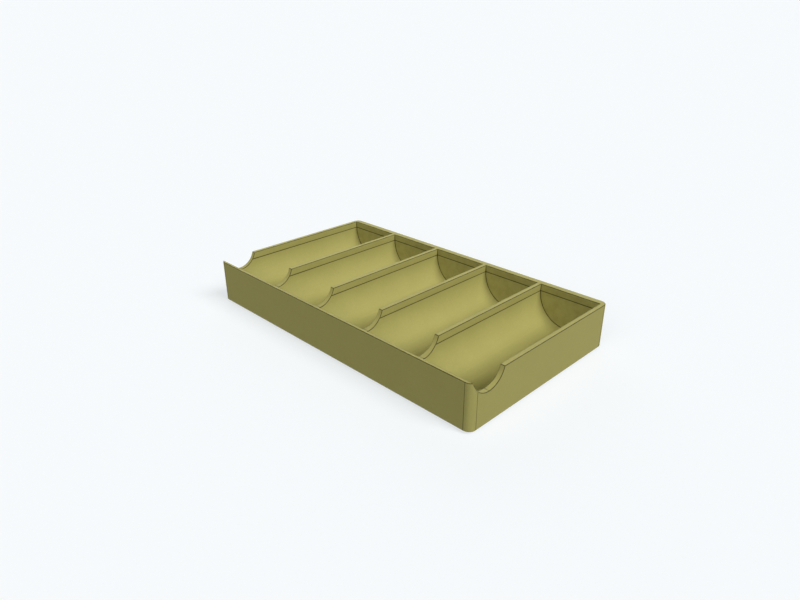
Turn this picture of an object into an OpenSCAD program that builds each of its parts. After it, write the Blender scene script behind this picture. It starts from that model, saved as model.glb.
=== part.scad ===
// Open tray for game pieces: five half-round wells side by side, with a thumb scoop across the front.
// The tray is one moulding, hollow underneath between its troughs, on four rubber feet.
// The middle of the tray's footprint is at the origin, +Z is up and the front faces -Y.
// The feet stand on z = 0. All sizes are in millimetres.

/* [Wells] */
// Number of wells side by side
well_count = 5; // [2:1:8]
// Width of a well, between its straight upper walls
well_w = 27; // [20:0.5:45]
// Length of a well, from the front wall to the back wall
well_l = 77.5; // [50:0.5:160]
// Height of the straight wall between the half-round trough and the rim
straight_h = 3; // [1:0.5:12]

/* [Walls] */
// Thickness of the floor under the lowest line of a well
floor_t = 2; // [1.6:0.1:5]
// Thickness of a divider between two wells
divider_t = 2; // [1.2:0.1:5]
// Thickness of the two end walls
end_wall_t = 2; // [1.2:0.1:5]
// Thickness of the back wall
back_wall_t = 3; // [1.6:0.1:6]
// Thickness of the front wall below the scoop
front_wall_t = 3; // [2:0.1:6]
// Radius of the four upright outer corners
corner_r = 3; // [1:0.5:6]

/* [Thumb scoop] */
// Radius of the round scoop
scoop_r = 8; // [6.5:0.5:14]
// Depth of the scoop below the rim
scoop_depth = 6; // [2:0.5:7.5]
// Width of the flat lip that the scoop leaves on top of the front wall
lip_t = 1.25; // [0.8:0.05:1.8]

/* [Underside] */
// Height of the hollows that are moulded between the troughs, from below
hollow_h = 5.5; // [3:0.25:6]
// Width of the flat strip that is left under each trough
land_w = 6; // [2:0.5:10]
// Number of ribs that cross the hollows
rib_count = 2; // [0:1:5]
// Thickness of a rib
rib_t = 1.5; // [1:0.1:3]

/* [Feet] */
// Diameter of a rubber foot
foot_d = 8; // [5:0.5:10]
// Thickness of a rubber foot
foot_t = 1.8; // [1.4:0.1:4]
// Radius of the rounded lower edge of a foot
foot_edge_r = 0.6; // [0.2:0.1:1]
// Depth of the recess that a foot is stuck into
recess_depth = 0.8; // [0.4:0.1:1.1]
// Gap around a foot in its recess
recess_gap = 0.15; // [0.05:0.05:0.5]
// Distance from an outer face of the tray to the middle of a foot
foot_inset = 8; // [6.5:0.5:15]
// Width of the solid underside that is kept around a foot's recess
pad_rim = 2; // [1:0.25:4]

/* [Hidden] */

// Facets of a full circle
round_fn = 96;
// How far a cut runs past the face that it opens
cut_past = 1;

// Outer width and depth of the tray
tray_w = well_count * well_w + (well_count - 1) * divider_t + 2 * end_wall_t;
tray_d = front_wall_t + well_l + back_wall_t;

// A well's trough is a half cylinder as wide as the well
trough_r = well_w / 2;

// Heights: the underside, the middle of the troughs, where the straight walls start, and the rim
base_z = foot_t - recess_depth;
trough_z = base_z + floor_t + trough_r;
rim_z = trough_z + straight_h;

// Front-to-back places
front_y = -tray_d / 2;
well_front_y = front_y + front_wall_t;

// Outside radius of a trough's skin: it leaves the flat strip where the underside cuts it off
skin_r = sqrt(pow(floor_t + trough_r, 2) + pow(land_w / 2, 2));

// Axis of the scoop: it meets the rim behind the lip, half a chord ahead of the axis
scoop_z = rim_z - scoop_depth + scoop_r;
scoop_half_chord = sqrt(pow(scoop_r, 2) - pow(scoop_r - scoop_depth, 2));
scoop_y = front_y + lip_t + scoop_half_chord;

// Middles of the feet, and the reach of the solid pad around each one
foot_x = tray_w / 2 - foot_inset;
foot_y = tray_d / 2 - foot_inset;
pad_reach = foot_d / 2 + recess_gap + pad_rim;

// Middle of a well, counted from the left
function well_x(i) = (i - (well_count - 1) / 2) * (well_w + divider_t);

// Outline of the tray seen from above, with its rounded corners
module tray_outline() {
    square([tray_w, tray_d - 2 * corner_r], center = true);
    square([tray_w - 2 * corner_r, tray_d], center = true);
    for (side_x = [-1, 1], side_y = [-1, 1])
        translate([side_x * (tray_w / 2 - corner_r), side_y * (tray_d / 2 - corner_r)])
            circle(r = corner_r, $fn = round_fn);
}

// The space of one well: a half-round trough and the straight-sided space above it
module well_space() {
    translate([0, well_front_y, trough_z])
        rotate([-90, 0, 0])
            cylinder(r = trough_r, h = well_l, $fn = round_fn);
    translate([-trough_r, well_front_y, trough_z])
        cube([well_w, well_l, straight_h + cut_past]);
}

// The round cut that leaves finger room across the front of every well
module thumb_scoop() {
    translate([-tray_w / 2 - cut_past, scoop_y, scoop_z])
        rotate([0, 90, 0])
            cylinder(r = scoop_r, h = tray_w + 2 * cut_past, $fn = round_fn);
}

// Cross section of the hollows, with the underside at y = 0: a strip that the troughs' skins cut into
module hollow_section() {
    difference() {
        translate([end_wall_t - tray_w / 2, -cut_past])
            square([tray_w - 2 * end_wall_t, hollow_h + cut_past]);
        for (i = [0 : well_count - 1])
            translate([well_x(i), floor_t + trough_r])
                circle(r = skin_r, $fn = round_fn);
    }
}

// The ribs that cross the hollows, evenly spaced along the wells
module cross_ribs() {
    for (i = [1 : 1 : rib_count])
        translate([-tray_w / 2, well_front_y + i * well_l / (rib_count + 1) - rib_t / 2, base_z - cut_past])
            cube([tray_w, rib_t, hollow_h + 2 * cut_past]);
}

// The corners of the underside that stay solid and carry the feet
module foot_pads() {
    for (side_x = [0, 1], side_y = [0, 1])
        mirror([side_x, 0, 0])
            mirror([0, side_y, 0])
                translate([foot_x - pad_reach, foot_y - pad_reach, base_z - cut_past])
                    cube([foot_inset + pad_reach, foot_inset + pad_reach, hollow_h + 2 * cut_past]);
}

// The space under the tray, between its outer walls and its troughs
module underside_hollows() {
    difference() {
        translate([0, well_front_y + well_l, base_z])
            rotate([90, 0, 0])
                linear_extrude(well_l)
                    hollow_section();
        cross_ribs();
        foot_pads();
    }
}

// The shallow pocket in the underside that one foot is stuck into
module foot_recess() {
    translate([0, 0, base_z - cut_past])
        cylinder(d = foot_d + 2 * recess_gap, h = recess_depth + cut_past, $fn = round_fn);
}

module tray_body() {
    color("darkkhaki")
        difference() {
            translate([0, 0, base_z])
                linear_extrude(rim_z - base_z)
                    tray_outline();
            for (i = [0 : well_count - 1])
                translate([well_x(i), 0, 0])
                    well_space();
            thumb_scoop();
            underside_hollows();
            for (side_x = [-1, 1], side_y = [-1, 1])
                translate([side_x * foot_x, side_y * foot_y, 0])
                    foot_recess();
        }
}

// Half section of a foot: a disc with a rounded lower edge
module foot_section() {
    square([foot_d / 2 - foot_edge_r, foot_t]);
    translate([0, foot_edge_r])
        square([foot_d / 2, foot_t - foot_edge_r]);
    translate([foot_d / 2 - foot_edge_r, foot_edge_r])
        circle(r = foot_edge_r, $fn = round_fn);
}

// One foot, on the side of the tray that the two signs give
module foot(side_x, side_y) {
    color("dimgray")
        translate([side_x * foot_x, side_y * foot_y, 0])
            rotate_extrude($fn = round_fn)
                foot_section();
}

module foot_front_left() foot(-1, -1);
module foot_front_right() foot(1, -1);
module foot_back_left() foot(-1, 1);
module foot_back_right() foot(1, 1);

tray_body();
foot_front_left();
foot_front_right();
foot_back_left();
foot_back_right();
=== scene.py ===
import math

import bmesh
import bpy
from mathutils import Matrix, Vector


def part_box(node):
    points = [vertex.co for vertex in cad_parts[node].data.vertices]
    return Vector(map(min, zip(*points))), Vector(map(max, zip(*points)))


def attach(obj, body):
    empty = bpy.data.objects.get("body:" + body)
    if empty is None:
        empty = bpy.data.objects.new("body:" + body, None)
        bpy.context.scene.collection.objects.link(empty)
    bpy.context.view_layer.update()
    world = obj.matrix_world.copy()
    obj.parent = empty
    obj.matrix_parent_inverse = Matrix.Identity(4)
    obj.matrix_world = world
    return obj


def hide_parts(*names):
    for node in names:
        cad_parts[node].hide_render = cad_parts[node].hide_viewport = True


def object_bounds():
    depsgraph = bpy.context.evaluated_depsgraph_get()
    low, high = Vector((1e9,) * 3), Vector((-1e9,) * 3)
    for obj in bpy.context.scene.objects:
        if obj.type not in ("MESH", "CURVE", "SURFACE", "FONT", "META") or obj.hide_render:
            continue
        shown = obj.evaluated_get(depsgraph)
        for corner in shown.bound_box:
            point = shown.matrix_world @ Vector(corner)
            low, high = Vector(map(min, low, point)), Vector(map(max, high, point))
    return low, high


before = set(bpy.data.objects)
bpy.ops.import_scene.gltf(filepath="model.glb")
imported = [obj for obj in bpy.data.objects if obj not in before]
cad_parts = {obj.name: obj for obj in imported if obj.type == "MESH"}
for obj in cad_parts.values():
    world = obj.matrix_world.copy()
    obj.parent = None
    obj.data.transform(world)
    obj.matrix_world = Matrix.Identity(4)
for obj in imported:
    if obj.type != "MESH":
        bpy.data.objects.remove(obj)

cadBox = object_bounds()
millimetre = 0.001
closeEnough = 0.01 * millimetre      # a point this near to a size counts as on it
mergeDistance = 0.001 * millimetre   # points nearer than this are one


def srgb(red, green, blue):
    # a display colour, 0 to 255, as the linear values that the sockets take
    def linear(value):
        value /= 255
        return value / 12.92 if value <= 0.04045 else ((value + 0.055) / 1.055) ** 2.4
    return (linear(red), linear(green), linear(blue), 1)


# camera: it looks at the middle of the tray from the front right, above the rim
cameraLook = {
    "azimuth": 45.17,           # degrees, towards the right from the front
    "elevation": 25.31,         # degrees above the table
    "roll": -0.15,              # degrees
    "distance": 0.2757,         # metres from the middle of the tray
    "targetHeight": 0.01025,
    "fieldOfView": 50,          # degrees, top to bottom of the picture
    "sensorWidth": 36,
    "frameAspect": 800 / 600,
    "nearest": 0.01,            # metres, the range that the camera sees
    "furthest": 200,
}


def makeCamera(look):
    azimuth = math.radians(look["azimuth"])
    elevation = math.radians(look["elevation"])
    level = math.cos(elevation)
    back = Vector((math.sin(azimuth) * level, -math.cos(azimuth) * level, math.sin(elevation)))
    cameraData = bpy.data.cameras.new("trayCamera")
    cameraData.sensor_fit = "HORIZONTAL"
    cameraData.sensor_width = look["sensorWidth"]
    sensorHeight = look["sensorWidth"] / look["frameAspect"]
    cameraData.lens = sensorHeight / 2 / math.tan(math.radians(look["fieldOfView"] / 2))
    cameraData.clip_start = look["nearest"]
    cameraData.clip_end = look["furthest"]
    camera = bpy.data.objects.new("trayCamera", cameraData)
    bpy.context.scene.collection.objects.link(camera)
    camera.location = Vector((0, 0, look["targetHeight"])) + back * look["distance"]
    aimed = (-back).to_track_quat("-Z", "Y").to_matrix()
    turned = aimed @ Matrix.Rotation(math.radians(look["roll"]), 3, "Z")
    camera.rotation_mode = "QUATERNION"
    camera.rotation_quaternion = turned.to_quaternion()
    bpy.context.scene.camera = camera


makeCamera(cameraLook)
bpy.context.scene.view_settings.view_transform = "Standard"
print("camera ready")


# short ways to add and join nodes
def newMaterial(name):
    material = bpy.data.materials.new(name)
    material.use_nodes = True
    material.node_tree.nodes.clear()
    return material, material.node_tree


def newGroup(name, inputs, outputs):
    tree = bpy.data.node_groups.new(name, "ShaderNodeTree")
    for label, value in inputs.items():
        socket = tree.interface.new_socket(name=label, in_out="INPUT", socket_type="NodeSocketFloat")
        socket.default_value = value
    for label in outputs:
        tree.interface.new_socket(name=label, in_out="OUTPUT", socket_type="NodeSocketFloat")
    return tree, tree.nodes.new("NodeGroupInput"), tree.nodes.new("NodeGroupOutput")


def placeGroup(tree, group, values):
    node = tree.nodes.new("ShaderNodeGroup")
    node.node_tree = group
    for label, value in values.items():
        node.inputs[label].default_value = value
    return node


def put(tree, socket, value):
    # a socket takes another node's output, or a plain value
    if isinstance(value, bpy.types.NodeSocket):
        tree.links.new(value, socket)
    else:
        socket.default_value = value


def calculate(tree, operation, first, second=None, third=None, clamp=False):
    node = tree.nodes.new("ShaderNodeMath")
    node.operation = operation
    node.use_clamp = clamp
    for socket, value in zip(node.inputs, (first, second, third)):
        if value is not None:
            put(tree, socket, value)
    return node.outputs[0]


def distanceTo(tree, value, target):
    # how far a value is from a target, on either side
    return calculate(tree, "ABSOLUTE", calculate(tree, "SUBTRACT", value, target))


def remap(tree, value, low, high, toLow=0, toHigh=1):
    # a smooth step between two values
    node = tree.nodes.new("ShaderNodeMapRange")
    node.interpolation_type = "SMOOTHSTEP"
    labels = ("Value", "From Min", "From Max", "To Min", "To Max")
    for label, number in zip(labels, (value, low, high, toLow, toHigh)):
        put(tree, node.inputs[label], number)
    return node.outputs["Result"]


def blendColours(tree, factor, first, second, mode="MIX"):
    node = tree.nodes.new("ShaderNodeMix")
    node.data_type = "RGBA"
    node.blend_type = mode
    put(tree, node.inputs["Factor"], factor)
    put(tree, node.inputs[6], first)
    put(tree, node.inputs[7], second)
    return node.outputs[2]


def noise(tree, vector, scale, detail=2, roughness=0.5):
    node = tree.nodes.new("ShaderNodeTexNoise")
    put(tree, node.inputs["Vector"], vector)
    put(tree, node.inputs["Scale"], scale)
    node.inputs["Detail"].default_value = detail
    node.inputs["Roughness"].default_value = roughness
    return node.outputs["Fac"]


def stretched(tree, vector, factors):
    node = tree.nodes.new("ShaderNodeMapping")
    put(tree, node.inputs["Vector"], vector)
    node.inputs["Scale"].default_value = factors
    return node.outputs["Vector"]


def place(tree):
    return tree.nodes.new("ShaderNodeTexCoord").outputs["Object"]


def grainNormal(tree, grain, finish):
    # the fine grain as bumps on the surface
    bump = tree.nodes.new("ShaderNodeBump")
    bump.inputs["Strength"].default_value = finish["bumpStrength"]
    bump.inputs["Distance"].default_value = finish["grainHeight"]
    tree.links.new(grain.outputs["Height"], bump.inputs["Height"])
    return bump.outputs["Normal"]


def addShader(tree, colour, rough, normal, finish):
    shader = tree.nodes.new("ShaderNodeBsdfPrincipled")
    shader.inputs["Specular IOR Level"].default_value = finish["specular"]
    tree.links.new(colour, shader.inputs["Base Color"])
    tree.links.new(rough, shader.inputs["Roughness"])
    tree.links.new(normal, shader.inputs["Normal"])
    output = tree.nodes.new("ShaderNodeOutputMaterial")
    tree.links.new(shader.outputs[0], output.inputs["Surface"])


# light: a soft key from the right, one from the front, one from the back left and a plain sky
studioLight = {
    "keyDirection": (1, 0.15, 1),      # towards the lamp
    "keyStrength": 2.42,
    "keyAngle": 30,                    # degrees across, so that shadows are soft
    "fillDirection": (0.2, -1, 0.7),
    "fillStrength": 1.13,
    "fillAngle": 40,
    "backDirection": (-1, 0.8, 0.2),
    "backStrength": 1.10,
    "backAngle": 60,
    "skyStrength": 0.10,
    "floorLift": 1.2,                  # light that comes straight up from the floor
    "floorFocus": 8,                   # a higher power keeps that light nearer to straight up
    "floorSide": 0.10,                 # light that the floor sends sideways
    "backdrop": srgb(247, 250, 252),
    "floorShade": 0.36,                # how much of the floor's tone takes the shadow
    "floorLight": 0.911,               # light that reaches the open floor
    "floorReach": 40,                  # metres from the middle to the floor's sides
}


def makeLamp(name, direction, strength, angle):
    sun = bpy.data.lights.new(name, "SUN")
    sun.energy = strength
    sun.angle = math.radians(angle)
    lamp = bpy.data.objects.new(name, sun)
    bpy.context.scene.collection.objects.link(lamp)
    lamp.rotation_mode = "QUATERNION"
    lamp.rotation_quaternion = Vector(direction).to_track_quat("Z", "Y")


def seenRays(tree):
    # the camera, a glossy surface and clear material all see the backdrop's own colour
    rays = tree.nodes.new("ShaderNodeLightPath").outputs
    shiny = calculate(tree, "ADD", rays["Is Glossy Ray"], rays["Is Transmission Ray"], clamp=True)
    return calculate(tree, "ADD", rays["Is Camera Ray"], shiny, clamp=True)


def skyLevel(tree, light):
    # even above the table; below it stands for what the pale floor throws back, strongest straight up
    direction = tree.nodes.new("ShaderNodeTexCoord").outputs["Generated"]
    parts = tree.nodes.new("ShaderNodeSeparateXYZ")
    tree.links.new(direction, parts.inputs[0])
    down = calculate(tree, "MAXIMUM", calculate(tree, "MULTIPLY", parts.outputs["Z"], -1), 0)
    focused = calculate(tree, "POWER", down, light["floorFocus"])
    lift = calculate(tree, "MULTIPLY_ADD", focused, light["floorLift"], light["floorSide"])
    below = calculate(tree, "LESS_THAN", parts.outputs["Z"], 0)
    extra = calculate(tree, "SUBTRACT", lift, light["skyStrength"])
    return calculate(tree, "MULTIPLY_ADD", below, extra, light["skyStrength"])


def makeSky(light):
    world = bpy.data.worlds.new("studioSky")
    world.use_nodes = True
    tree = world.node_tree
    tree.nodes.clear()
    sky = tree.nodes.new("ShaderNodeBackground")
    sky.inputs["Color"].default_value = (1, 1, 1, 1)
    tree.links.new(skyLevel(tree, light), sky.inputs["Strength"])
    backdrop = tree.nodes.new("ShaderNodeBackground")
    backdrop.inputs["Color"].default_value = light["backdrop"]
    mix = tree.nodes.new("ShaderNodeMixShader")
    output = tree.nodes.new("ShaderNodeOutputWorld")
    tree.links.new(seenRays(tree), mix.inputs["Fac"])
    tree.links.new(sky.outputs[0], mix.inputs[1])
    tree.links.new(backdrop.outputs[0], mix.inputs[2])
    tree.links.new(mix.outputs[0], output.inputs["Surface"])
    bpy.context.scene.world = world


def makeFloorPaper(light):
    # pale paper that takes the shadow and glows enough to match the backdrop
    material, tree = newMaterial("studioFloor")
    nodes, links = tree.nodes, tree.links
    shade = light["floorShade"]
    paper = nodes.new("ShaderNodeBsdfDiffuse")
    paper.inputs["Color"].default_value = (shade, shade, shade, 1)
    glow = nodes.new("ShaderNodeEmission")
    lit = shade * light["floorLight"]
    glow.inputs["Color"].default_value = tuple(tone - lit for tone in light["backdrop"][:3]) + (1,)
    pale = nodes.new("ShaderNodeAddShader")
    links.new(paper.outputs[0], pale.inputs[0])
    links.new(glow.outputs[0], pale.inputs[1])

    # the light that it throws back is in the sky instead
    # from below it is clear, so that the underside can be looked at
    geometry = nodes.new("ShaderNodeNewGeometry")
    clear = nodes.new("ShaderNodeBsdfTransparent")
    whole = nodes.new("ShaderNodeMixShader")
    output = nodes.new("ShaderNodeOutputMaterial")
    fromAbove = calculate(tree, "SUBTRACT", 1, geometry.outputs["Backfacing"])
    links.new(calculate(tree, "MULTIPLY", seenRays(tree), fromAbove), whole.inputs["Fac"])
    links.new(clear.outputs[0], whole.inputs[1])
    links.new(pale.outputs[0], whole.inputs[2])
    links.new(whole.outputs[0], output.inputs["Surface"])
    return material


def makeFloor(light):
    mesh = bpy.data.meshes.new("studioFloor")
    bm = bmesh.new()
    bmesh.ops.create_grid(bm, x_segments=1, y_segments=1, size=light["floorReach"])
    bm.to_mesh(mesh)
    bm.free()
    floor = bpy.data.objects.new("studioFloor", mesh)
    bpy.context.scene.collection.objects.link(floor)
    mesh.materials.append(makeFloorPaper(light))


makeLamp("keyLight", studioLight["keyDirection"], studioLight["keyStrength"], studioLight["keyAngle"])
makeLamp("fillLight", studioLight["fillDirection"], studioLight["fillStrength"], studioLight["fillAngle"])
makeLamp("backLight", studioLight["backDirection"], studioLight["backStrength"], studioLight["backAngle"])
makeSky(studioLight)
makeFloor(studioLight)
print("studio ready")


# surface effects that the moulded plastic and the rubber share
grainPattern = {
    "detail": 2,
    "roughness": 0.55,
    "speckleScale": 0.45,        # speckles are coarser than the grain
    "speckleDetail": 3,
    "speckleRoughness": 0.7,
    "noiseRange": (0.3, 0.7),    # where noise mostly lies
}


def makeGrainGroup(pattern):
    # fine grain of a moulded surface, with a slow change of tone across it
    sizes = {"Grain Size": 0.4 * millimetre, "Mottle Size": 12 * millimetre}
    tree, given, result = newGroup("mouldGrain", sizes, ("Height", "Speckle", "Mottle"))
    spot = place(tree)
    low, high = pattern["noiseRange"]
    fine = calculate(tree, "DIVIDE", 1, given.outputs["Grain Size"])
    height = noise(tree, spot, fine, pattern["detail"], pattern["roughness"])
    coarser = calculate(tree, "MULTIPLY", fine, pattern["speckleScale"])
    speckle = noise(tree, spot, coarser, pattern["speckleDetail"], pattern["speckleRoughness"])
    slow = calculate(tree, "DIVIDE", 1, given.outputs["Mottle Size"])
    tree.links.new(height, result.inputs["Height"])
    tree.links.new(remap(tree, speckle, low, high, -1, 1), result.inputs["Speckle"])
    tree.links.new(remap(tree, noise(tree, spot, slow), low, high, -1, 1), result.inputs["Mottle"])
    return tree


edgePattern = {
    "detail": 2,
    "roughness": 0.6,
    "noiseRange": (0.35, 0.65),
}


def makeEdgeGroup(pattern):
    # masks of the eased outer edges and of the inner corners, broken up a little along their length; the
    # inner corners' mask is where painted shade goes
    sizes = {"Breakup Size": 3 * millimetre, "Breakup": 0.4}
    tree, given, result = newGroup("edgeAndCornerMasks", sizes, ("Outer", "Inner"))
    tone = tree.nodes.new("ShaderNodeAttribute")
    tone.attribute_type = "GEOMETRY"
    tone.attribute_name = "edgeTone"
    low, high = pattern["noiseRange"]
    scale = calculate(tree, "DIVIDE", 1, given.outputs["Breakup Size"])
    uneven = remap(tree, noise(tree, place(tree), scale, pattern["detail"], pattern["roughness"]), low, high)
    kept = calculate(tree, "SUBTRACT", 1, calculate(tree, "MULTIPLY", uneven, given.outputs["Breakup"]))
    outer = calculate(tree, "MAXIMUM", tone.outputs["Fac"], 0)
    inner = calculate(tree, "MAXIMUM", calculate(tree, "MULTIPLY", tone.outputs["Fac"], -1), 0)
    tree.links.new(calculate(tree, "MULTIPLY", outer, kept, clamp=True), result.inputs["Outer"])
    tree.links.new(calculate(tree, "MULTIPLY", inner, kept, clamp=True), result.inputs["Inner"])
    return tree


mouldGrain = makeGrainGroup(grainPattern)
edgeAndCornerMasks = makeEdgeGroup(edgePattern)
print("surface effects ready")


def newPiece(name, bm, flatWeight):
    # a smooth-shaded object; with a high weight, its big flat faces keep their own normal
    for face in bm.faces:
        face.smooth = True
    mesh = bpy.data.meshes.new(name)
    bm.to_mesh(mesh)
    bm.free()
    piece = bpy.data.objects.new(name, mesh)
    bpy.context.scene.collection.objects.link(piece)
    flatten = piece.modifiers.new("flatten", "WEIGHTED_NORMAL")
    flatten.mode = "FACE_AREA"
    flatten.weight = flatWeight
    return piece


# tray body: a copy of the frame's solid with eased edges and a fine groove around each well
trayBody = {
    "wellCount": 5,
    "divider": 2 * millimetre,              # thickness of a wall between two wells
    "endWall": 2 * millimetre,
    "backWall": 3 * millimetre,
    "straightWall": 3 * millimetre,         # upright part of a well's walls, below the rim
    "cornerRadius": 3 * millimetre,
    "scoopRadius": 8 * millimetre,
    "scoopDepth": 6 * millimetre,
    "scoopLip": 1.25 * millimetre,          # flat rim that is left ahead of the scoop
    "hollowTop": 6.5 * millimetre,          # top of the hollows in the underside
    "undersideMargin": 1 * millimetre,      # edges nearer than this to the outer faces belong to those
    "edgeRadius": 0.28 * millimetre,
    "undersideRadius": 0.16 * millimetre,   # smaller, because the hollows have narrow corners
    "edgeSegments": 4,
    "sharpAngle": 25,                       # degrees between two faces that count as an edge
    "flatAngle": 0.1,                       # degrees between two faces that become one
    "shortRim": 0.35 * millimetre,          # a rim point this near to the scoop's end joins the next
    "sidewaysLimit": 0.3,                   # a face of the scoop faces sideways less than this
    "wallTilt": 0.5,                        # a wall's normal points up or down less than this
    "lineWidth": 0.42 * millimetre,
    "lineDepth": 0.2 * millimetre,
    "lineSnap": 0.0001 * millimetre,        # the groove's cuts use points that are this near
    "lineMargin": 0.2 * millimetre,         # eased corners count this far past the end walls' faces
    "lineFade": (0.4, 0.9),                 # near the scoop, the groove fades on walls that face ahead
    "lineFadeReach": 2.5 * millimetre,      # how far behind the scoop that fading ends
    "flatWeight": 100,
}


def addPlaces(size, highest):
    # places that follow from the frame's box and the sizes above
    size["outerSide"], size["outerFront"], size["rimHeight"] = highest
    size["wellSide"] = size["outerSide"] - size["endWall"]        # inner faces of the end walls
    size["wellBack"] = size["outerFront"] - size["backWall"]      # inner face of the back wall
    size["wellPitch"] = (2 * size["wellSide"] + size["divider"]) / size["wellCount"]
    size["troughRadius"] = (size["wellPitch"] - size["divider"]) / 2
    size["lineHeight"] = size["rimHeight"] - size["straightWall"]
    radius = size["scoopRadius"]
    size["scoopEnd"] = size["scoopLip"] - size["outerFront"]      # front end of the scoop, on the rim
    size["scoopZ"] = size["rimHeight"] - size["scoopDepth"] + radius
    size["scoopY"] = size["scoopEnd"] + math.sqrt(radius ** 2 - (radius - size["scoopDepth"]) ** 2)
    down = size["scoopZ"] - size["lineHeight"]
    size["scoopAtLine"] = size["scoopY"] + math.sqrt(radius ** 2 - down ** 2)   # where it cuts the groove


def joinCornerPoints(bm, size):
    # beside each end of the scoop, one point of the rounded rim leaves no room to ease the edges
    # it joins the next point ahead
    joined = {}
    for vert in bm.verts:
        onCorner = abs(vert.co.x) > size["outerSide"] - size["cornerRadius"]
        onRim = abs(vert.co.z - size["rimHeight"]) < closeEnough
        if onCorner and onRim and closeEnough < size["scoopEnd"] - vert.co.y < size["shortRim"]:
            others = [edge.other_vert(vert) for edge in vert.link_edges]
            level = [other for other in others if abs(other.co.z - vert.co.z) < closeEnough]
            ahead = [other for other in level if other.co.y < vert.co.y]
            joined[vert] = min(ahead, key=lambda other: (other.co - vert.co).length)
    bmesh.ops.weld_verts(bm, targetmap=joined)
    print("corner points joined:", len(joined))


def onUnderside(edge, size):
    # an edge of the hollows, ribs and recesses: low, out of the wells and away from the outer faces
    for vert in edge.verts:
        across = (vert.co.x + size["wellPitch"] / 2) % size["wellPitch"] - size["wellPitch"] / 2
        fromAxis = math.hypot(across, vert.co.z - size["lineHeight"])
        inWell = fromAxis < size["troughRadius"] + closeEnough
        fromOutside = min(size["outerSide"] - abs(vert.co.x), size["outerFront"] - abs(vert.co.y))
        if vert.co.z > size["hollowTop"] + closeEnough or inWell or fromOutside < size["undersideMargin"]:
            return False
    return True


def stripBend(face):
    # a strip's area, with a minus sign in an inner corner: its two longest edges tell which way it turns
    along = sorted(face.edges, key=lambda edge: edge.calc_length())[-2:]
    return math.copysign(face.calc_area(), sum(edge.calc_face_angle_signed(0) for edge in along))


def easeEdges(bm, size):
    # every sharp edge gets a small radius; edgeTone is +1 on an outer edge and -1 in an inner corner, where
    # the material paints shade
    tone = bm.verts.layers.float.new("edgeTone")
    sharpAngle = math.radians(size["sharpAngle"])
    for below, radius in ((True, size["undersideRadius"]), (False, size["edgeRadius"])):
        sharp = [edge for edge in bm.edges if edge.calc_face_angle(0) > sharpAngle]
        chosen = [edge for edge in sharp if onUnderside(edge, size) == below]
        eased = bmesh.ops.bevel(bm, geom=chosen, offset=radius, offset_type="OFFSET", affect="EDGES",
                                segments=size["edgeSegments"], profile=0.5, clamp_overlap=True, material=-1)
        bm.normal_update()
        strips = {face: stripBend(face) for face in eased["faces"]}
        for vert in bm.verts:
            if vert.link_faces and all(face in strips for face in vert.link_faces):
                vert[tone] = math.copysign(1, sum(strips[face] for face in vert.link_faces))
        print("edges eased:", len(chosen))


def onScoop(face, size):
    # a face of the scoop's round surface
    if abs(face.normal.x) >= size["sidewaysLimit"]:
        return False
    reaches = [math.hypot(vert.co.y - size["scoopY"], vert.co.z - size["scoopZ"]) for vert in face.verts]
    return all(abs(reach - size["scoopRadius"]) < closeEnough for reach in reaches)


def evenScoop(bm, size):
    # the triangles of the scoop's round face are turned so that none spans more than one step of it
    scoop = [face for face in bm.faces if onScoop(face, size)]
    pairs = [edge for edge in bm.edges if len(edge.link_faces) == 2]
    inner = [edge for edge in pairs if all(onScoop(face, size) for face in edge.link_faces)]
    bmesh.ops.beautify_fill(bm, faces=scoop, edges=inner, method="ANGLE")
    print("scoop faces evened:", len(scoop))


def crossesLine(face, size):
    # a face of a well's upright walls, or of their eased corners, at the height of the groove
    if abs(face.normal.z) > size["wallTilt"]:
        return False
    heights = [vert.co.z - size["lineHeight"] for vert in face.verts]
    if max(heights) < -size["lineWidth"] or min(heights) > size["lineWidth"]:
        return False
    furthest = max(abs(vert.co.y) for vert in face.verts)
    sideways = abs(face.calc_center_median().x)
    return furthest < size["wellBack"] + closeEnough and sideways < size["wellSide"] + size["lineMargin"]


def cutWellLine(bm, size):
    # three cuts mark the groove's sides and its middle
    for offset in (-size["lineWidth"] / 2, 0, size["lineWidth"] / 2):
        walls = [face for face in bm.faces if crossesLine(face, size)]
        edges = {edge for face in walls for edge in face.edges}
        verts = {vert for face in walls for vert in face.verts}
        bmesh.ops.bisect_plane(bm, geom=list(verts) + list(edges) + walls, dist=size["lineSnap"],
                               plane_co=(0, 0, size["lineHeight"] + offset), plane_no=(0, 0, 1))
    bm.normal_update()


def pushWellLine(bm, size):
    # the middle of the groove is pushed into the wall; its points are marked for the inner corners' painted
    # shade
    tone = bm.verts.layers.float["edgeTone"]
    fadeStart, fadeEnd = size["lineFade"]
    moves = []
    for vert in bm.verts:
        onLine = abs(vert.co.z - size["lineHeight"]) <= mergeDistance
        sideways = Vector((vert.normal.x, vert.normal.y, 0))
        if not onLine or sideways.length < size["wallTilt"]:
            continue
        if not any(crossesLine(face, size) for face in vert.link_faces):
            continue
        sideways.normalize()
        share = 1
        if vert.co.y < size["scoopAtLine"] + size["lineFadeReach"]:
            share = max(0, min(1, (abs(sideways.x) - fadeStart) / (fadeEnd - fadeStart)))
        moves.append((vert, sideways * size["lineDepth"] * share, share))
    for vert, move, share in moves:
        vert.co -= move
        # marked as an inner corner, so that the material paints shade in the groove
        vert[tone] = -share
    print("groove points:", len(moves))


def makeTrayBody(size):
    bm = bmesh.new()
    bm.from_mesh(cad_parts["tray_body"].data)
    bmesh.ops.remove_doubles(bm, verts=bm.verts, dist=mergeDistance)
    evenScoop(bm, size)
    bmesh.ops.dissolve_limit(bm, angle_limit=math.radians(size["flatAngle"]), verts=bm.verts, edges=bm.edges)
    joinCornerPoints(bm, size)
    easeEdges(bm, size)
    cutWellLine(bm, size)
    pushWellLine(bm, size)
    return newPiece("trayShell", bm, size["flatWeight"])


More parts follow.
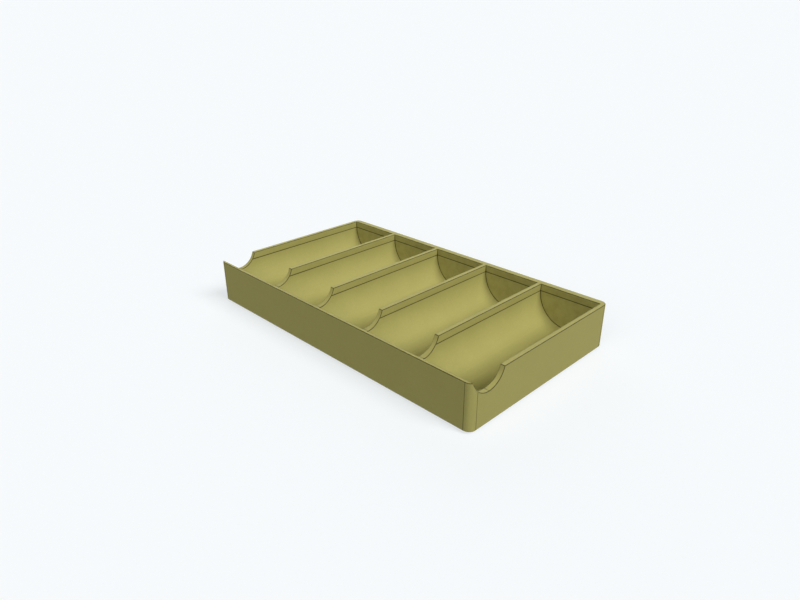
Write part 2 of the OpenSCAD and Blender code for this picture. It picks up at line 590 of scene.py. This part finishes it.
trayFinish = {
    "olive": srgb(170, 164, 97),
    "oliveWarm": srgb(167, 161, 94),
    "grainSize": 0.38 * millimetre,
    "grainHeight": 0.05 * millimetre,
    "bumpStrength": 0.6,
    "mottleSize": 11 * millimetre,
    "roughness": 0.62,
    "specular": 0.15,
    "outerEdge": (0.15, 0.145, 0.125, 1),   # what an outer edge's colour is multiplied by
    # painted shade in the inner corners and in the groove: what their colour is multiplied by
    "innerCornerShade": (0.15, 0.145, 0.12, 1),
    "edgeBreakup": 0.12,                    # share of the edges' tone that comes and goes along them
    "edgeBreakupSize": 2.5 * millimetre,
    "wallMargin": 0.25 * millimetre,        # masks of the wells reach this far past their faces
    # dust and painted shade where the troughs meet the front and back walls
    "creaseDustAndShade": (0.80, 0.79, 0.76, 1),
    "creaseSpread": 1.3 * millimetre,
    "dustScale": 260,                       # patches of dust and painted shade to a metre
    "dustRoughness": 0.6,
    "dustRange": (0.35, 0.7),
    "dustLeast": 0.45,                      # dust and painted shade between the patches
    "slideTop": 9 * millimetre,             # pieces have slid over the troughs below this height
    "slideFull": 0.45,                      # share of that height below which the marks are full
    "slideEnds": (2 * millimetre, 9 * millimetre),
    "slideScale": (1500, 22, 1500),         # marks to a metre: many across, few along the wells
    "slideRoughness": 0.6,
    "slideRange": (0.55, 0.72),
    "seam": (0.34, 0.33, 0.30, 1),          # mould lines on the corners and in the scoop, and painted shade in the groove
    "seamWidth": 0.16 * millimetre,
    "seamReach": 0.3 * millimetre,          # the corners' lines are this near to the outer faces
    "seamBand": 0.1 * millimetre,           # the scoop's line is this near to its lowest height
    "grooveSoftness": 0.03 * millimetre,
    "grooveGap": 0.11 * millimetre,         # from the scoop to the front end of the groove's tone
    "speckleTone": 0.025,
    "slideTone": 0.05,
    "mottleRough": 0.04,                    # how much each effect adds to the roughness
    "speckleRough": 0.03,
    "slideRough": -0.10,
    "edgeRough": -0.12,
    "dustRough": 0.15,
}


def wellMask(tree, parts, finish, size):
    # 1 on the faces of the wells; near a well's axis sideways, and above the trough's floor
    halfPitch = size["wellPitch"] / 2
    margin = finish["wallMargin"]
    across = calculate(tree, "WRAP", parts.outputs["X"], halfPitch, -halfPitch)
    under = calculate(tree, "MINIMUM", calculate(tree, "SUBTRACT", parts.outputs["Z"], size["lineHeight"]), 0)
    squares = calculate(tree, "ADD", calculate(tree, "POWER", across, 2), calculate(tree, "POWER", under, 2))
    near = calculate(tree, "LESS_THAN", calculate(tree, "SQRT", squares), size["troughRadius"] + margin)
    ahead = calculate(tree, "ABSOLUTE", parts.outputs["Y"])
    fromWall = calculate(tree, "SUBTRACT", size["wellBack"], ahead)
    between = calculate(tree, "GREATER_THAN", fromWall, -margin)
    sideways = calculate(tree, "ABSOLUTE", parts.outputs["X"])
    inside = calculate(tree, "LESS_THAN", sideways, size["wellSide"] + margin)
    inWell = calculate(tree, "MULTIPLY", calculate(tree, "MULTIPLY", near, between), inside)
    return inWell, fromWall


def creaseDustAndShadeMask(tree, spot, inWell, fromWall, finish):
    # dust and painted shade where the troughs meet the front and back walls: darker there, in patches
    low, high = finish["dustRange"]
    close = remap(tree, fromWall, 0, finish["creaseSpread"], 1, 0)
    patches = noise(tree, spot, finish["dustScale"], roughness=finish["dustRoughness"])
    patchy = remap(tree, patches, low, high, finish["dustLeast"], 1)
    return calculate(tree, "MULTIPLY", calculate(tree, "MULTIPLY", close, inWell), patchy, clamp=True)


def slideMask(tree, spot, parts, inWell, fromWall, finish):
    # slide marks run the length of a trough
    low, high = finish["slideRange"]
    streaks = noise(tree, stretched(tree, spot, finish["slideScale"]), 1, roughness=finish["slideRoughness"])
    marks = remap(tree, streaks, low, high)
    full = finish["slideTop"] * finish["slideFull"]
    bottom = remap(tree, parts.outputs["Z"], full, finish["slideTop"], 1, 0)
    first, last = finish["slideEnds"]
    middle = calculate(tree, "MULTIPLY", inWell, remap(tree, fromWall, first, last))
    return calculate(tree, "MULTIPLY", calculate(tree, "MULTIPLY", marks, bottom), middle)


def seamMask(tree, parts, finish, size):
    # upright lines where the rounded corners start and end, and one along the bottom of the scoop
    def hairline(away):
        return remap(tree, away, finish["seamWidth"] / 2, finish["seamWidth"], 1, 0)
    side = (calculate(tree, "ABSOLUTE", parts.outputs["X"]), size["outerSide"])
    front = (calculate(tree, "ABSOLUTE", parts.outputs["Y"]), size["outerFront"])
    lines = []
    for (along, alongEnd), (across, acrossEnd) in ((side, front), (front, side)):
        line = hairline(distanceTo(tree, along, alongEnd - size["cornerRadius"]))
        outside = calculate(tree, "GREATER_THAN", across, acrossEnd - finish["seamReach"])
        lines.append(calculate(tree, "MULTIPLY", line, outside))
    line = hairline(distanceTo(tree, parts.outputs["Y"], size["scoopY"]))
    height = distanceTo(tree, parts.outputs["Z"], size["scoopZ"] - size["scoopRadius"])
    bottom = calculate(tree, "LESS_THAN", height, finish["seamBand"])
    corners = calculate(tree, "MAXIMUM", lines[0], lines[1])
    return calculate(tree, "MAXIMUM", corners, calculate(tree, "MULTIPLY", line, bottom))


def grooveShadeMask(tree, parts, inWell, finish, size):
    # painted shade: the groove around each well is darkened over its whole width, behind the scoop
    half = size["lineWidth"] / 2
    soft = finish["grooveSoftness"]
    away = distanceTo(tree, parts.outputs["Z"], size["lineHeight"])
    groove = remap(tree, away, half - soft, half + soft, 1, 0)
    behind = calculate(tree, "GREATER_THAN", parts.outputs["Y"], size["scoopAtLine"] + finish["grooveGap"])
    return calculate(tree, "MULTIPLY", groove, calculate(tree, "MULTIPLY", inWell, behind))


def makeTrayPlastic(finish, size):
    # matt moulded plastic: fine grain, a slow mottle, dark eased edges, faint slide marks in the troughs, and
    # painted shade in the inner corners, in the groove and, with some dust, where the troughs meet the walls
    material, tree = newMaterial("trayPlastic")
    sizes = {"Grain Size": finish["grainSize"], "Mottle Size": finish["mottleSize"]}
    grain = placeGroup(tree, mouldGrain, sizes)
    breakup = {"Breakup Size": finish["edgeBreakupSize"], "Breakup": finish["edgeBreakup"]}
    edgeMasks = placeGroup(tree, edgeAndCornerMasks, breakup)
    spot = place(tree)
    parts = tree.nodes.new("ShaderNodeSeparateXYZ")
    tree.links.new(spot, parts.inputs[0])
    inWell, fromWall = wellMask(tree, parts, finish, size)
    dustAndShade = creaseDustAndShadeMask(tree, spot, inWell, fromWall, finish)
    marks = slideMask(tree, spot, parts, inWell, fromWall, finish)
    seam = seamMask(tree, parts, finish, size)
    lines = calculate(tree, "MAXIMUM", seam, grooveShadeMask(tree, parts, inWell, finish, size))

    mottle, speckle = grain.outputs["Mottle"], grain.outputs["Speckle"]
    blend = calculate(tree, "MULTIPLY_ADD", mottle, 0.5, 0.5)   # -1 to 1 becomes 0 to 1
    colour = blendColours(tree, blend, finish["oliveWarm"], finish["olive"])
    speckled = calculate(tree, "MULTIPLY_ADD", speckle, finish["speckleTone"], 1)
    colour = blendColours(tree, 1, colour, speckled, "MULTIPLY")
    lighter = calculate(tree, "MULTIPLY_ADD", marks, finish["slideTone"], 1)
    colour = blendColours(tree, 1, colour, lighter, "MULTIPLY")
    # dust and painted shade in the creases at the wells' ends
    colour = blendColours(tree, dustAndShade, colour, finish["creaseDustAndShade"], "MULTIPLY")
    # mould lines, and painted shade in the groove
    colour = blendColours(tree, lines, colour, finish["seam"], "MULTIPLY")
    colour = blendColours(tree, edgeMasks.outputs["Outer"], colour, finish["outerEdge"], "MULTIPLY")
    # painted shade in the inner corners and along the groove
    colour = blendColours(tree, edgeMasks.outputs["Inner"], colour, finish["innerCornerShade"], "MULTIPLY")

    rough = calculate(tree, "MULTIPLY_ADD", mottle, finish["mottleRough"], finish["roughness"])
    rough = calculate(tree, "MULTIPLY_ADD", speckle, finish["speckleRough"], rough)
    rough = calculate(tree, "MULTIPLY_ADD", marks, finish["slideRough"], rough)
    rough = calculate(tree, "MULTIPLY_ADD", edgeMasks.outputs["Outer"], finish["edgeRough"], rough)
    rough = calculate(tree, "MULTIPLY_ADD", dustAndShade, finish["dustRough"], rough, clamp=True)
    addShader(tree, colour, rough, grainNormal(tree, grain, finish), finish)
    return material


addPlaces(trayBody, cadBox[1])
trayShell = makeTrayBody(trayBody)
trayShell.data.materials.append(makeTrayPlastic(trayFinish, trayBody))
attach(trayShell, "root")
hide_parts("tray_body")
print("tray body ready")


# feet: dark rubber discs with a slight taper, a rounded lower edge and a shallow dish in the sole
rubberFoot = {
    "radius": 4 * millimetre,
    "height": 1.8 * millimetre,
    "taper": 0.08 * millimetre,
    "edgeRadius": 0.6 * millimetre,
    "edgeSteps": 8,
    "topRadius": 0.25 * millimetre,
    "topSteps": 4,
    "soleRadius": 2.9 * millimetre,
    "soleDepth": 0.12 * millimetre,
    "soleSlope": 0.3 * millimetre,    # width of the slope around the dish
    "rubbedShare": 0.7,               # share of the lower edge's radius that is rubbed
    "steps": 72,
    "flatWeight": 50,
}


def footProfile(size):
    # half section, from the middle of the sole round to the middle of the top
    edge, top = size["edgeRadius"], size["topRadius"]
    edgeMiddle = size["radius"] - size["taper"] - edge
    topMiddle = (size["radius"] - top, size["height"] - top)
    points = [(0, size["soleDepth"]), (size["soleRadius"] - size["soleSlope"], size["soleDepth"])]
    points.append((size["soleRadius"], 0))
    for step in range(size["edgeSteps"] + 1):
        turn = math.pi / 2 * step / size["edgeSteps"]
        points.append((edgeMiddle + edge * math.sin(turn), edge - edge * math.cos(turn)))
    for step in range(size["topSteps"] + 1):
        turn = math.pi / 2 * step / size["topSteps"]
        points.append((topMiddle[0] + top * math.cos(turn), topMiddle[1] + top * math.sin(turn)))
    points.append((0, size["height"]))
    return points


def makeFoot(node, size):
    low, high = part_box(node)
    middle = (Vector(low) + Vector(high)) / 2
    bm = bmesh.new()
    tone = bm.verts.layers.float.new("edgeTone")
    points = [bm.verts.new((out, 0, up)) for out, up in footProfile(size)]
    edges = [bm.edges.new(pair) for pair in zip(points, points[1:])]
    bmesh.ops.spin(bm, geom=points + edges, cent=(0, 0, 0), axis=(0, 0, 1), angle=math.tau,
                   steps=size["steps"], use_merge=True)
    bmesh.ops.remove_doubles(bm, verts=bm.verts, dist=mergeDistance)
    bmesh.ops.recalc_face_normals(bm, faces=bm.faces)
    rubbed = size["edgeRadius"] * size["rubbedShare"]
    for vert in bm.verts:
        out = math.hypot(vert.co.x, vert.co.y)
        if out > size["radius"] - size["taper"] - rubbed and vert.co.z < rubbed:
            vert[tone] = 1
    bmesh.ops.translate(bm, verts=bm.verts, vec=(middle.x, middle.y, low[2]))
    return newPiece("rubber" + node.title().replace("_", ""), bm, size["flatWeight"])


footFinish = {
    "rubber": (0.028, 0.028, 0.030, 1),
    "dust": (0.10, 0.098, 0.09, 1),
    "grainSize": 0.30 * millimetre,
    "grainHeight": 0.06 * millimetre,
    "bumpStrength": 0.6,
    "mottleSize": 3 * millimetre,
    "breakupSize": 1.2 * millimetre,
    "breakup": 0.8,
    "dustShare": 0.12,         # how grey the rubber is all over
    "mottleShare": 0.10,       # and how much the mottle and the rubbed edge change that
    "rubbedShare": 0.25,
    "roughness": 0.78,
    "speckleRough": 0.05,
    "rubbedRough": -0.1,
    "specular": 0.4,
}


def makeFootRubber(finish):
    # dull black rubber with a fine grain, greyer where it has been rubbed
    material, tree = newMaterial("footRubber")
    sizes = {"Grain Size": finish["grainSize"], "Mottle Size": finish["mottleSize"]}
    grain = placeGroup(tree, mouldGrain, sizes)
    breakup = {"Breakup Size": finish["breakupSize"], "Breakup": finish["breakup"]}
    rubbed = placeGroup(tree, edgeAndCornerMasks, breakup).outputs["Outer"]
    mottle, speckle = grain.outputs["Mottle"], grain.outputs["Speckle"]
    grey = calculate(tree, "MULTIPLY_ADD", mottle, finish["mottleShare"], finish["dustShare"], clamp=True)
    grey = calculate(tree, "MULTIPLY_ADD", rubbed, finish["rubbedShare"], grey, clamp=True)
    colour = blendColours(tree, grey, finish["rubber"], finish["dust"])
    rough = calculate(tree, "MULTIPLY_ADD", speckle, finish["speckleRough"], finish["roughness"])
    rough = calculate(tree, "MULTIPLY_ADD", rubbed, finish["rubbedRough"], rough, clamp=True)
    addShader(tree, colour, rough, grainNormal(tree, grain, finish), finish)
    return material


footRubber = makeFootRubber(footFinish)
for footNode in ("foot_front_left", "foot_front_right", "foot_back_left", "foot_back_right"):
    foot = makeFoot(footNode, rubberFoot)
    foot.data.materials.append(footRubber)
    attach(foot, "root")
    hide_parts(footNode)
print("feet ready")
